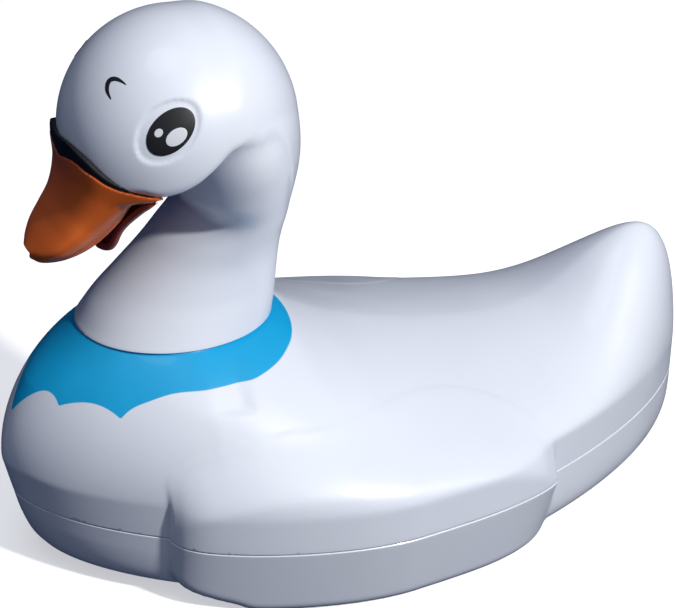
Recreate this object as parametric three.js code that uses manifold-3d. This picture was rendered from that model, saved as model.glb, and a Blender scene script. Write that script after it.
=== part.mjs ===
// Floating chlorine dispenser shaped like a swan. Millimetres, +Z up, the bill points along -Y.
import * as THREE from "three";
import Module from "manifold-3d";

const wasm = await Module();
wasm.setup();

// ---------------------------------------------------------------- driving dimensions
const WALL = 2.4;          // moulded wall of the float and the head
const GAP = 0.3;           // clearance between neighbouring pieces
const CENTRE_Y = 6;        // middle of the overall length, moved to the origin
const BOW_Y = -141;        // chest
const STERN_Y = 153;       // tail
const MID_Y = -8;          // widest station
const BEAM = 87;           // half width of the float without the wings
const WIDE_Z = 45;         // height of the widest line
const SEAM_Z = 30;         // joint between the two float shells
const KEEL_Z = 3.5;        // underside of the float
const COLLAR_Z = 96;       // joint between the float and the neck
const HUMP_Z = 108;        // shoulder height the collar plane is cut from
const WING_FRONT = -93;
const WING_BACK = 61;
const WING_FADE = 20;      // height over which the swell of the wing dies out
const HEAD = { y: -65.8, z: 174, r: 44.4 };
const BILL = { y: -95, z: 160, dip: 0.765 };   // root of the bill and its slope below level
const BAND = 1.4;          // how far the root of the bill stands off the head
const EYE = { across: 6.8, along: 10.4 };      // half widths
const WELL = { y: -2, r: 48, wall: 2.5, roof: 60.5 };
const FLANGE = { r: 64, low: 4.6, high: 7.1, lip: 46.3 };
const POCKET = { r: 66, z: 9 };
const CAN = { r: 44.5, wall: 2.5, low: 5, high: 54, floor: 2.5 };
const LUG = { r: 47.6, low: 7.5, high: 10.5, half: 9, notch: 12.5 };
const SEAL = { low: 12, high: 14, r: 46 };
const SCREWS = 6;
const SCREW_R = 57;
const VENTS = 6;
const VENT_R = 25;

// ---------------------------------------------------------------- colours
const paint = (color, roughness) => new THREE.MeshStandardMaterial({ color, roughness, metalness: 0 });
const white = paint(0xe9edf6, 0.22);
const orange = paint(0xd9702c, 0.3);
const black = paint(0x10151b, 0.25);
const grey = paint(0xaab4bf, 0.4);
const rubber = paint(0x2b2f33, 0.8);
const blue = paint(0x1aa1dc, 0.35);
const steel = new THREE.MeshStandardMaterial({ color: 0xb9bcc0, roughness: 0.3, metalness: 1 });

// ---------------------------------------------------------------- small helpers
const clamp = (t) => Math.min(1, Math.max(0, t));
const ease = (t) => clamp(t) ** 2 * (3 - 2 * clamp(t));
const cap = (s, n) => Math.max(0, 1 - Math.min(1, Math.abs(s)) ** n) ** (1 / n);

// Smooth curve through a few [position, value] knots.
function through(knots) {
  const last = knots.length - 1;
  const slope = knots.map((_, i) => {
    const a = knots[Math.max(0, i - 1)];
    const b = knots[Math.min(last, i + 1)];
    return (b[1] - a[1]) / (b[0] - a[0]);
  });
  return (x) => {
    let i = 0;
    while (i < last - 1 && x > knots[i + 1][0]) i += 1;
    const h = knots[i + 1][0] - knots[i][0];
    const t = clamp((x - knots[i][0]) / h);
    const rise = t * t * (3 - 2 * t);
    const lead = t * (1 - t) ** 2;
    const trail = t * t * (t - 1);
    return (1 - rise) * knots[i][1] + rise * knots[i + 1][1] + h * (lead * slope[i] + trail * slope[i + 1]);
  };
}

// Closed body from rings of equal length, with a fan to the middle of each end ring.
function loft(rings) {
  const n = rings[0].length;
  const middle = (ring) => [0, 1, 2].map((k) => ring.reduce((sum, p) => sum + p[k], 0) / n);
  const points = [...rings.flat(), middle(rings[0]), middle(rings.at(-1))];
  const first = rings.length * n;
  const faces = [];
  for (let j = 0; j < n; j += 1) {
    const k = (j + 1) % n;
    for (let i = 0; i < rings.length - 1; i += 1) {
      const a = i * n;
      faces.push(a + j, a + k, a + n + k, a + j, a + n + k, a + n + j);
    }
    faces.push(first, k, j, first + 1, first - n + j, first - n + k);
  }
  const geometry = new THREE.BufferGeometry();
  geometry.setAttribute("position", new THREE.Float32BufferAttribute(points.flat(), 3));
  geometry.setIndex(faces);
  return geometry;
}

// three.js geometry to a solid that can be cut and joined.
function solid(geometry) {
  const position = geometry.getAttribute("position");
  const index = geometry.index ? Array.from(geometry.index.array) : [...Array(position.count).keys()];
  const seen = new Map();
  const points = [];
  const remap = index.map((i) => {
    const p = [position.getX(i), position.getY(i), position.getZ(i)];
    const key = p.map((v) => Math.round(v * 1e4)).join();
    if (!seen.has(key)) {
      seen.set(key, points.length / 3);
      points.push(...p);
    }
    return seen.get(key);
  });
  const faces = [];
  for (let i = 0; i < remap.length; i += 3) {
    const [a, b, c] = remap.slice(i, i + 3);
    if (a !== b && b !== c && c !== a) faces.push(a, b, c);
  }
  const mesh = { numProp: 3, vertProperties: Float32Array.from(points), triVerts: Uint32Array.from(faces) };
  const body = new wasm.Manifold(new wasm.Mesh(mesh));
  return body.volume() < 0 ? flipped(points, faces) : body;
}

function flipped(points, faces) {
  const triVerts = Uint32Array.from(faces);
  for (let i = 0; i < triVerts.length; i += 3) [triVerts[i], triVerts[i + 1]] = [triVerts[i + 1], triVerts[i]];
  return new wasm.Manifold(new wasm.Mesh({ numProp: 3, vertProperties: Float32Array.from(points), triVerts }));
}

function geometryOf(body) {
  const mesh = body.getMesh();
  const geometry = new THREE.BufferGeometry();
  const points = [];
  for (let i = 0; i < mesh.numVert; i += 1) {
    points.push(...mesh.vertProperties.slice(i * mesh.numProp, i * mesh.numProp + 3));
  }
  geometry.setAttribute("position", new THREE.Float32BufferAttribute(points, 3));
  geometry.setIndex(Array.from(mesh.triVerts));
  return geometry;
}

const box = (x0, x1, y0, y1, z0, z1) => solid(new THREE.BoxGeometry(x1 - x0, y1 - y0, z1 - z0)
  .translate((x0 + x1) / 2, (y0 + y1) / 2, (z0 + z1) / 2));
const above = (z) => box(-300, 300, -300, 300, z, 400);
const below = (z) => box(-300, 300, -300, 300, -100, z);
const rod = (x, y, r, z0, z1, sides) => solid(new THREE.CylinderGeometry(r, r, z1 - z0, sides)
  .rotateX(Math.PI / 2).translate(x, y, (z0 + z1) / 2));

// The biggest of the separate lumps of a body.
const largest = (body) => body.decompose().reduce((a, b) => (b.volume() > a.volume() ? b : a));
const mirrored = (body) => body.add(body.mirror([1, 0, 0]));

// Turned piece about the axis of the tablet well, from [radius, height] corners.
function turned(corners, sides) {
  const profile = [...corners, corners[0]].map(([r, z]) => new THREE.Vector2(r, z));
  return solid(new THREE.LatheGeometry(profile, sides).rotateX(Math.PI / 2).translate(0, WELL.y, 0));
}

// Wedge about the axis of the tablet well between two angles in degrees.
function sector(r0, r1, middle, half, z0, z1) {
  const shape = new THREE.Shape();
  const from = THREE.MathUtils.degToRad(middle - half);
  const to = THREE.MathUtils.degToRad(middle + half);
  shape.absarc(0, 0, r1, from, to, false);
  shape.absarc(0, 0, r0, to, from, true);
  const options = { depth: z1 - z0, bevelEnabled: false, curveSegments: 4 };
  return solid(new THREE.ExtrudeGeometry(shape, options).translate(0, WELL.y, z0));
}

// ---------------------------------------------------------------- outline of the neck
const neckFront = through([[96, -108], [104, -102], [112, -94], [128, -76.5], [139, -65], [150, -69], [183, -76]]);
const neckBack = through([[96, -31], [104, -29.5], [118, -27.8], [139, -25], [158, -22.8], [168, -22.9], [180, -26],
  [192, -36]]);
const neckHalf = through([[96, 34.5], [104, 31.5], [112, 28.8], [124, 27.2], [139, 31], [152, 37.5], [165, 41.5],
  [178, 40.5], [192, 32]]);

// ---------------------------------------------------------------- float
const ridge = through([[-73, HUMP_Z], [-34, 97], [-18, 88], [5, 78], [50, 68], [85, 69], [115, 87], [STERN_Y, 118]]);
const roof = through([[BOW_Y, 1.9], [-73, 1.7], [0, 1.55], [STERN_Y, 1.6]]);
const stem = through([[KEEL_Z, -126], [10, -131], [20, -135], [30, -137.5], [WIDE_Z, BOW_Y]]);
const stern = through([[KEEL_Z, 143], [9, 149], [18, 152], [WIDE_Z, STERN_Y]]);
const BILGE = 12;          // how square the edge between the sides and the flat bottom is

// Front and back end of the float at a height; the lower hull is raked.
const endsAt = (z, grow) => [stem(Math.min(z, WIDE_Z)) - grow, stern(Math.min(z, WIDE_Z)) + grow];

function planWidth(y, z, grow) {
  const [front, back] = endsAt(z, grow);
  const reach = y < MID_Y ? MID_Y - front : back - MID_Y;
  return (BEAM + grow) * cap((y - MID_Y) / reach, y < MID_Y ? 1.6 : 1.56);
}

function topAt(y, grow) {
  if (y < -73) return WIDE_Z + (HUMP_Z + grow - WIDE_Z) * cap((y + 73) / (-73 - BOW_Y + grow), 1.86);
  const fall = y > 105 ? cap((y - 105) / (STERN_Y + grow - 105), 2.3) : 1;
  return WIDE_Z + (ridge(y) + grow - WIDE_Z) * fall;
}

// Lowest point of the middle line, found by walking the rake down from the widest line.
function keelAt(y, grow) {
  let low = KEEL_Z - grow;
  let high = WIDE_Z;
  const inside = (z) => y > endsAt(z, grow)[0] && y < endsAt(z, grow)[1];
  if (inside(low)) return low;
  for (let i = 0; i < 30; i += 1) {
    const z = (low + high) / 2;
    if (inside(z)) high = z;
    else low = z;
  }
  return high;
}

function sideAt(y, z, grow) {
  if (z >= WIDE_Z) return planWidth(y, z, grow) * cap((z - WIDE_Z) / (topAt(y, grow) - WIDE_Z), roof(y));
  return planWidth(y, z, grow) * cap((WIDE_Z - z) / (WIDE_Z - KEEL_Z + grow), BILGE);
}

// The whole float as one closed body; grow moves its skin outwards.
function floatBody(grow, lengthwise, around) {
  const rings = [];
  for (let i = 1; i < lengthwise; i += 1) {
    const along = -Math.cos((Math.PI * i) / lengthwise);
    const y = MID_Y + along * (along < 0 ? MID_Y - BOW_Y + grow : STERN_Y - MID_Y + grow);
    const ring = [];
    for (let j = 0; j < around; j += 1) {
      const angle = (2 * Math.PI * j) / around;
      const under = Math.sin(angle) < 0;
      const n = under ? BILGE : roof(y);
      const reach = (under ? keelAt(y, grow) : topAt(y, grow)) - WIDE_Z;
      const z = WIDE_Z + reach * Math.abs(Math.sin(angle)) ** (2 / n);
      const across = Math.sign(Math.cos(angle)) * Math.abs(Math.cos(angle)) ** (2 / n);
      ring.push([planWidth(y, z, grow) * across, y, z]);
    }
    rings.push(ring);
  }
  return solid(loft(rings));
}

const wingTop = through([[-93, 56], [-88, 61], [-80, 65], [-60, 70], [-30, 70], [10, 67], [35, 62], [52, 55],
  [61, 46]]);
const wingLow = through([[-93, 13], [-89, 8.5], [-80, 5], [-72, 2.6], [-67, 0.5], [-60, 0], [50, 0], [57, 1],
  [61, 5]]);
const wingSwell = through([[-93, 3.6], [-90, 6.8], [-85, 8.6], [-76, 9], [-60, 8.5], [-30, 7], [0, 5.5], [30, 7],
  [61, 9]]);

function wingSide(y, z, grow) {
  const upper = Math.max(z, SEAM_Z);
  const taper = y > 20 ? cap((y - 20) / 46, 3) : 1;
  const swell = wingSwell(y) * taper * ease((wingTop(y) - upper) / WING_FADE);
  const tuck = (0.22 + 0.6 * (1 - taper)) * Math.max(0, SEAM_Z - z);
  return sideAt(y, upper, 0) + swell - tuck + grow;
}

// Folded wing with its skid, on the +X side.
function wing(grow, count, levels) {
  const rings = [];
  for (let i = 0; i <= count; i += 1) {
    const y = WING_FRONT - grow + ((WING_BACK - WING_FRONT + 2 * grow) * i) / count;
    const low = Math.max(wingLow(y), 0) + (grow < 0 ? 7 : 0);
    const high = wingTop(y) + grow;
    const outer = levels.map((f) => low + (high - low) * f).map((z) => [wingSide(y, z, grow), y, z]);
    const foot = wingSide(y, low, grow);
    outer[0] = [foot - 2, y, low];
    outer[1] = [foot - 0.4, y, low + 1.4];
    const inner = [0.92, 0.6, 0.3].map((f) => low + (high - low) * f).map((z) => [sideAt(y, z, 0) - 9, y, z]);
    rings.push([...outer, ...inner, [foot - 11, y, low + 5], [foot - 9, y, low]]);
  }
  return solid(loft(rings));
}

// Everything round the collar outside a cone that widens downwards; the cone flattens towards the back.
function offShoulders(inset) {
  const top = COLLAR_Z - 0.8;
  const half = neckHalf(COLLAR_Z);
  const middle = (neckFront(COLLAR_Z) + neckBack(COLLAR_Z)) / 2;
  const reach = (neckBack(COLLAR_Z) - neckFront(COLLAR_Z)) / 2;
  const rings = [76, 82, 88, 92, top, 120].map((z) => [...Array(36).keys()].map((i) => {
    const angle = (2 * Math.PI * i) / 36;
    let spread = 1;
    for (let round = 0; round < 8; round += 1) {
      const slope = 1.25 + 6 * ease((middle + reach * spread * Math.sin(angle) + 62) / 34);
      spread = 1 + (0.2 - inset + slope * Math.max(top - z, 0)) / half;
    }
    return [half * spread * Math.cos(angle), middle + reach * spread * Math.sin(angle), z];
  }));
  return box(-150, 150, -150, -20, 78, 112).subtract(solid(loft(rings)));
}

const LEVELS = [0, 0.02, 0.06, 0.2, 0.36, 0.5, 0.62, 0.73, 0.83, 0.92, 1];
const FEW_LEVELS = LEVELS.filter((_, i) => i % 2 === 0);
const outerSkin = floatBody(0, 34, 28).add(mirrored(wing(0, 14, LEVELS))).subtract(offShoulders(0));
const innerSkin = floatBody(-WALL, 20, 20).add(mirrored(wing(-WALL, 8, FEW_LEVELS))).subtract(offShoulders(3.6));

function upperShell() {
  const shell = outerSkin.intersect(below(COLLAR_Z - 0.8)).subtract(innerSkin);
  return shell.intersect(above(SEAM_Z + 0.2)).subtract(collarOval(-3.8, 84, 100));
}

const screwSpots = [...Array(SCREWS).keys()].map((i) => {
  const angle = ((i + 0.5) * 2 * Math.PI) / SCREWS;
  return [SCREW_R * Math.cos(angle), WELL.y + SCREW_R * Math.sin(angle)];
});

function lowerShell() {
  const pan = rod(0, WELL.y, POCKET.r + WALL, KEEL_Z + 0.2, POCKET.z + WALL, 48);
  const recess = rod(0, WELL.y, POCKET.r, -5, POCKET.z, 48);
  const hole = rod(0, WELL.y, WELL.r + WELL.wall + GAP, -5, 30, 48);
  let shell = outerSkin.subtract(innerSkin).intersect(below(SEAM_Z - 0.2)).add(pan).subtract(recess).subtract(hole);
  for (const [x, y] of screwSpots) shell = shell.subtract(rod(x, y, 1.7, 0, 20, 10));
  return shell;
}

// Rubber cord that closes the joint between the two shells from inside.
function hullSeal() {
  const outer = floatBody(-WALL - 0.5, 20, 20);
  const inner = floatBody(-WALL - 3, 20, 12);
  return outer.subtract(inner).intersect(above(SEAM_Z - 2.5)).intersect(below(SEAM_Z + 2.5));
}

// ---------------------------------------------------------------- neck and head
function ovalRing(z, grow, sides) {
  const front = neckFront(z) - grow;
  const back = neckBack(z) + grow;
  return [...Array(sides).keys()].map((i) => {
    const angle = (2 * Math.PI * i) / sides;
    return [(neckHalf(z) + grow) * Math.cos(angle), (front + back) / 2 + ((back - front) / 2) * Math.sin(angle), z];
  });
}

// Straight oval tube wall between two heights, cut to the outline of the neck at the collar.
function collarOval(grow, z0, z1) {
  const ring = ovalRing(COLLAR_Z, grow, 32);
  return solid(loft([z0, z1].map((z) => ring.map(([x, y]) => [x, y, z]))));
}

function headBall(grow, wide, high) {
  const ball = new THREE.SphereGeometry(HEAD.r + grow, wide, high);
  return solid(ball.rotateX(Math.PI / 2).translate(0, HEAD.y, HEAD.z));
}

const cheekHeight = through([[-112, 158], [-98, 163], [-92, 164.4], [-85.8, 163.7], [-78.2, 165.8], [-72.3, 169],
  [-68.7, 171.8], [-64.8, 175], [-60.7, 178.4], [-57, 180.2], [-48, 183], [-37, 182], [-31, 160],
  [-25, 120]]);
const cheekAcross = through([[-112, 15], [-98, 30], [-92, 34.1], [-85.8, 38.2], [-78.2, 41.7], [-72.3, 43.5],
  [-64.8, 44.3], [-57.5, 42.6], [-48, 40]]);

// Space below the cheeks and the chin; lift raises its top.
function underCheeks(lift) {
  const stations = [...Array(33).keys()].map((i) => -114 + 3 * i);
  return solid(loft(stations.map((y) => {
    const wide = cheekAcross(y);
    const edge = [60, wide, wide / 2, 0, -wide / 2, -wide, -60];
    const top = edge.map((x) => [x, y, cheekHeight(y) + lift - 0.5 * Math.max(0, wide - Math.abs(x))]);
    return [[-60, y, 80], [60, y, 80], ...top];
  })));
}

// Round of the head, cut off below the cheeks.
const headRound = (grow, wide, high) => headBall(grow, wide, high).subtract(underCheeks(-1.2 * grow));

function neckColumn(grow, steps, sides) {
  const low = COLLAR_Z + 0.8;
  const heights = [...Array(steps + 1).keys()].map((i) => low + ((191 - low) * i) / steps);
  return solid(loft(heights.map((z) => ovalRing(z, grow, sides))));
}

function headAndNeck() {
  const outer = neckColumn(0, 15, 32).add(headRound(0, 36, 22));
  const inner = neckColumn(-WALL, 9, 20).add(headRound(-WALL, 20, 12));
  const spigot = collarOval(-4.2, 86, 101).subtract(collarOval(-6.4, 80, 101));
  const mouth = collarOval(-6.4, 80, 101);
  return outer.subtract(inner).add(spigot.intersect(below(COLLAR_Z + 5))).subtract(mouth.intersect(below(101)));
}

const neckGasket = () => collarOval(-0.6, COLLAR_Z - 0.5, COLLAR_Z + 0.5).subtract(collarOval(-3.9, 90, 101));
const neckClip = () => collarOval(-1.6, 87.5, 91.5).subtract(collarOval(-3.9, 80, 95));

// ---------------------------------------------------------------- bill
const billTop = through([[-12, 29], [0, 23.8], [9, 13.8], [18, 7.4], [26, 4.8], [34, 3.6], [41, 2.6]]);
const billWide = through([[-12, 36], [0, 30], [10, 25], [18, 21.5], [26, 19.5], [33, 16.5], [38, 11.5], [41, 6]]);
const billLow = through([[-12, -2], [0, -7], [10, -10], [18, -11.5], [26, -10.5], [33, -8], [38, -5], [41, -2.4]]);

// Point of the bill: along its slope, across, and out of its upper face.
function billPoint(along, across, up) {
  const c = Math.cos(BILL.dip);
  const s = Math.sin(BILL.dip);
  return [across, BILL.y - along * c - up * s, BILL.z - along * s + up * c];
}

// Edges of the black band at the root of the bill, by distance from the middle of the face.
const maskLow = through([[0, 169], [6, 170.6], [12, 171.8], [16, 171.6], [20, 170.4], [24, 169.2], [28, 166.6],
  [31, 165], [34, 164.2], [38, 163.4], [44, 162.6]]);
const maskHigh = through([[0, 177], [8, 177.8], [15, 176.8], [20.7, 174.7], [25, 171.8], [28, 169.4], [31, 167.2],
  [34, 165.6], [38, 164.4], [44, 163.2]]);

// Block in front of the face from a level floor up to a curve across the face.
function upTo(curve, lift, back, floor) {
  const stations = [...Array(23).keys()].map((i) => -44 + 4 * i);
  return solid(loft(stations.map((x) => {
    const top = curve(Math.abs(x)) + lift;
    return [[x, -150, floor], [x, back, floor], [x, back, top], [x, -150, top]];
  })));
}

// Upper bill and its root that hugs the head, as one body; grow moves its skin outwards.
function billShape(grow) {
  const rings = [-12, -3, 4, 10, 16, 22, 28, 33, 37, 40, 41].map((along) => {
    const ring = [];
    for (let j = 0; j < 24; j += 1) {
      const angle = (2 * Math.PI * j) / 24;
      const across = (billWide(along) + grow) * Math.sign(Math.cos(angle)) * Math.abs(Math.cos(angle)) ** 0.85;
      const reach = Math.sin(angle) < 0 ? billLow(along) - grow : billTop(along) + grow;
      ring.push(billPoint(along + (along > 40 ? grow : 0), across, Math.abs(Math.sin(angle)) ** 0.9 * reach));
    }
    return ring;
  });
  const root = headBall(BAND + grow, 36, 22).intersect(upTo(maskHigh, grow, -84.5 + grow, 157.5 - grow));
  return solid(loft(rings)).add(root).intersect(upTo(maskHigh, grow, -70, 90));
}

// Edge of the lower bill, from the corner of the mouth to the middle of the tip.
const JAW = [[36, -87, 162], [33, -88.6, 158.8], [30, -90.3, 156], [26, -92, 152.1], [22, -93.6, 148.1],
  [18, -94.8, 143.7], [15, -95.4, 139.8], [12.4, -95.8, 136], [9, -96.4, 132.6], [5, -97.4, 130.8],
  [1.5, -98.2, 130.2]];
const JAW_WALL = 1.4;      // half the thickness of the lower bill

// Scoop hung from its edge, kept clear of the upper bill and the head.
function lowerBill() {
  const rings = JAW.map(([half, y, z]) => [...Array(20).keys()].map((j) => {
    const angle = (2 * Math.PI * j) / 20;
    const depth = 0.34 * half * Math.sin(angle) ** 2 + JAW_WALL * Math.sin(angle);
    return [half * Math.cos(angle), y + 0.93 * depth, z - 0.36 * depth];
  }));
  return largest(solid(loft(rings)).subtract(billShape(GAP)).subtract(headRound(GAP, 36, 22)));
}

// ---------------------------------------------------------------- eyes
function eye(side) {
  const aim = new THREE.Vector3(39, -15.5, 14.9).normalize();
  const lean = new THREE.Vector3(-0.06, 0.79, 0.61).cross(aim).normalize();
  const turn = new THREE.Matrix4().makeBasis(lean, aim, lean.clone().cross(aim));
  const core = new THREE.CylinderGeometry(1, 1, 30, 24).scale(EYE.across, 1, EYE.along).translate(0, HEAD.r, 0);
  const plug = solid(core.applyMatrix4(turn).translate(0, HEAD.y, HEAD.z));
  const patch = plug.intersect(headBall(1, 48, 32)).subtract(headBall(GAP, 36, 22));
  return side < 0 ? patch.mirror([1, 0, 0]) : patch;
}

// ---------------------------------------------------------------- tablet dispenser
function tabletHousing() {
  const outer = WELL.r + WELL.wall;
  const corners = [[0, WELL.roof], [outer, WELL.roof], [outer, FLANGE.high], [FLANGE.r, FLANGE.high],
    [FLANGE.r, FLANGE.low], [FLANGE.lip, FLANGE.low], [FLANGE.lip, FLANGE.high], [WELL.r, FLANGE.high],
    [WELL.r, WELL.roof - WELL.wall], [0, WELL.roof - WELL.wall]];
  let housing = turned(corners, 40);
  for (const turn of [0, 120, 240]) {
    housing = housing.subtract(sector(FLANGE.lip - 2, WELL.r, turn, LUG.notch, 0, FLANGE.high + 0.01));
  }
  for (const [x, y] of screwSpots) housing = housing.subtract(rod(x, y, 1.7, 0, 20, 10));
  return housing;
}

function housingGasket() {
  const low = FLANGE.high + GAP;
  const high = POCKET.z - GAP;
  let ring = turned([[52, low], [63.5, low], [63.5, high], [52, high]], 40);
  for (const [x, y] of screwSpots) ring = ring.subtract(rod(x, y, 1.7, 0, 20, 10));
  return ring;
}

const housingScrew = ([x, y]) => rod(x, y, 3.2, 2.4, FLANGE.low - GAP, 16).add(rod(x, y, 1.35, 3, 15, 10));
const ventSpots = [...Array(VENTS).keys()].map((i) => (i * 360) / VENTS);

function tabletCanister() {
  const inner = CAN.r - CAN.wall;
  const corners = [[0, CAN.low], [CAN.r, CAN.low], [CAN.r, 11.3], [45.8, 11.3], [45.8, SEAL.low - GAP],
    [CAN.r, SEAL.low - GAP], [CAN.r, SEAL.high + GAP], [45.8, SEAL.high + GAP], [45.8, 15], [CAN.r, 15],
    [CAN.r, CAN.high], [inner, CAN.high], [inner, CAN.low + CAN.floor], [0, CAN.low + CAN.floor]];
  let can = turned(corners, 36);
  for (const turn of [0, 120, 240]) can = can.add(sector(CAN.r - 1, LUG.r, turn, LUG.half, LUG.low, LUG.high));
  for (const turn of ventSpots) can = can.subtract(sector(VENT_R - 9, VENT_R + 11, turn, 11, 0, CAN.low + 4));
  can = can.add(box(-38, -8.5, WELL.y - 3, WELL.y + 3, 1.2, CAN.low + 1));
  can = can.add(box(8.5, 38, WELL.y - 3, WELL.y + 3, 1.2, CAN.low + 1));
  for (const turn of [0, 180]) can = can.subtract(sector(VENT_R - 9, VENT_R + 11, turn, 11, CAN.low - 0.01, 9));
  return can.subtract(rod(0, WELL.y, 4.3, 0, 12, 24));
}

function canisterSeal() {
  const inner = CAN.r + GAP;
  return turned([[inner, SEAL.low], [SEAL.r, SEAL.low], [SEAL.r, SEAL.high], [inner, SEAL.high]], 36);
}

function ventShutter() {
  const low = CAN.low + CAN.floor + GAP;
  const pin = CAN.low - 0.6;
  let disc = turned([[0, pin], [4, pin], [4, low], [40.5, low], [40.5, low + 1.8], [0, low + 1.8]], 40);
  for (const turn of ventSpots) disc = disc.subtract(sector(VENT_R - 9, VENT_R + 11, turn, 11, 0, 20));
  return disc;
}

function ventKnob() {
  const high = CAN.low - 0.9;
  const disc = turned([[0, 1.4], [6.6, 1.4], [7.6, 2.2], [7.6, high], [0, high]], 32);
  return disc.subtract(box(-5.5, 5.5, WELL.y - 0.8, WELL.y + 0.8, 0, 2.3));
}

// ---------------------------------------------------------------- assembly
const swan = new THREE.Group();
swan.name = "swan_chlorine_dispenser";

function add(name, body, material) {
  const mesh = new THREE.Mesh(geometryOf(body.simplify(0.02)).translate(0, -CENTRE_Y, 0), material);
  mesh.name = name;
  swan.add(mesh);
}

const bill = billShape(0).subtract(headRound(GAP, 36, 22));
add("upper_shell", upperShell(), white);
add("lower_shell", lowerShell(), white);
add("hull_seal", hullSeal(), rubber);
add("head_neck", headAndNeck(), white);
add("neck_gasket", neckGasket(), rubber);
add("neck_clip", neckClip(), grey);
add("bill_mask", largest(bill.subtract(upTo(maskLow, GAP, -70, 90))), black);
add("upper_bill", largest(bill.intersect(upTo(maskLow, 0, -70, 90))), orange);
add("lower_bill", lowerBill(), orange);
add("eye_left", eye(1), black);
add("eye_right", eye(-1), black);
add("tablet_housing", tabletHousing(), grey);
add("housing_gasket", housingGasket(), rubber);
screwSpots.forEach((spot, i) => add(`housing_screw_${i + 1}`, housingScrew(spot), steel));
add("tablet_canister", tabletCanister(), blue);
add("canister_seal", canisterSeal(), rubber);
add("vent_shutter", ventShutter(), grey);
add("vent_knob", ventKnob(), blue);

export default swan;
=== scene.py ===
"""Looks of the floating swan-shaped chlorine dispenser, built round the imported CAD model.

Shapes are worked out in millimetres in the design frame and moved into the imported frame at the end.
The float, the head and the bill are signed-distance fields that are joined smoothly and then meshed.
"""

import math

import bmesh
import bpy
import numpy as np
import openvdb as vdb
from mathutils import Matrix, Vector


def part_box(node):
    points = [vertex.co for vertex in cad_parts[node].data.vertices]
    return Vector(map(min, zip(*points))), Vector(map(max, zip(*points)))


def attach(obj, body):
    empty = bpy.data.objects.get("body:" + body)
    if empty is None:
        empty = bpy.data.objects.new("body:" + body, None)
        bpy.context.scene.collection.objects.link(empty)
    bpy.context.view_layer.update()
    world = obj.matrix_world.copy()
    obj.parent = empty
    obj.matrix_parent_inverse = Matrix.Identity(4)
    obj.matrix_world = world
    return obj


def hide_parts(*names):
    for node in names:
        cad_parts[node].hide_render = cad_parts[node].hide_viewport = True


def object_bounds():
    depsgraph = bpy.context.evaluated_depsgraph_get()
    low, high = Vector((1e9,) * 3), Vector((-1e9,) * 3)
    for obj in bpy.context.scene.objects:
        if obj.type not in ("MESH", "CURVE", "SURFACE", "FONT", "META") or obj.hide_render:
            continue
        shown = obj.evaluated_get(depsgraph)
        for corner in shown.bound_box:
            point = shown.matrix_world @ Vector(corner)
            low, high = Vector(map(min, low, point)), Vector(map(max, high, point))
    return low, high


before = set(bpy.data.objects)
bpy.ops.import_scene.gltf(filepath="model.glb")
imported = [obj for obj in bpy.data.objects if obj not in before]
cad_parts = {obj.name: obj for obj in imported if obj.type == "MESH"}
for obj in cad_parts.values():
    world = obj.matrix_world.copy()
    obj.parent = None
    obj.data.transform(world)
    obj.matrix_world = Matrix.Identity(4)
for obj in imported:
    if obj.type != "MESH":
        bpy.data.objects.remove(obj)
cad_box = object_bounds()

# ------------ places taken from the CAD frame
MM = 0.001
WELL_Y = -2.0                    # axis of the tablet well in the design frame


def box_mm(node):
    """Lowest and highest corner of a CAD node in millimetres."""
    low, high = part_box(node)
    return np.array(low) / MM, np.array(high) / MM


housing_low, housing_high = box_mm("tablet_housing")
SHIFT = np.array([0.0, (housing_low[1] + housing_high[1]) / 2 - WELL_Y, 0.0])
SEAM_LOW = box_mm("lower_shell")[1][2]
SEAM_HIGH = box_mm("upper_shell")[0][2]
SHELL_TOP = box_mm("upper_shell")[1][2]

# ------------ driving dimensions, design frame
WALL = 2.2                               # moulded wall of the float and the head
BOW_Y, STERN_Y, MID_Y = -141, 153, -8    # chest, tail and widest station
BEAM = 87                                # half width without the wings
WIDE_Z, SEAM_Z, KEEL_Z = 45, 30, 3.5     # widest line, joint between the shells, underside
COLLAR_Z, HUMP_Z = 96, 108               # foot of the neck, and the height the shoulders aim for
BILGE = 12                               # how square the edge between the sides and the bottom is
WING_FRONT, WING_BACK = -93, 61
WING_FADE = 20                           # height over which the swell of the wing dies out
EDGE_GAP = 0.35                          # height of the bevelled edge at each joint of the shells
NECK_TOP = 191                           # the neck ends inside the head
HEAD = np.array([0.0, -65.8, 174.0])
HEAD_R = 44.4
BILL_Y, BILL_Z, BILL_DIP = -95, 160, 0.765    # root of the bill and its slope below level
POCKET_R, POCKET_Z = 66, 9               # recess in the underside for the flange
HOLE_R = 50.8                            # opening in the underside for the well


# ------------ curves
def ease(t):
    """Smooth step from 0 to 1."""
    t = np.clip(t, 0, 1)
    return t * t * (3 - 2 * t)


def cap(s, n):
    """Rounded profile, 1 in the middle and 0 at s = 1; n says how square it is."""
    return np.maximum(0, 1 - np.minimum(1, np.abs(s)) ** n) ** (1 / n)


def through(knots):
    """Smooth curve through a few [position, value] knots."""
    x, v = np.array(knots, float).T
    slope = np.empty(len(x))
    slope[1:-1] = (v[2:] - v[:-2]) / (x[2:] - x[:-2])
    slope[0] = (v[1] - v[0]) / (x[1] - x[0])
    slope[-1] = (v[-1] - v[-2]) / (x[-1] - x[-2])

    def curve(at):
        at = np.asarray(at, float)
        i = np.clip(np.searchsorted(x, at) - 1, 0, len(x) - 2)
        h = x[i + 1] - x[i]
        t = np.clip((at - x[i]) / h, 0, 1)
        rise = t * t * (3 - 2 * t)
        lead = t * (1 - t) ** 2
        trail = t * t * (t - 1)
        return (1 - rise) * v[i] + rise * v[i + 1] + h * (lead * slope[i] + trail * slope[i + 1])

    return curve


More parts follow.
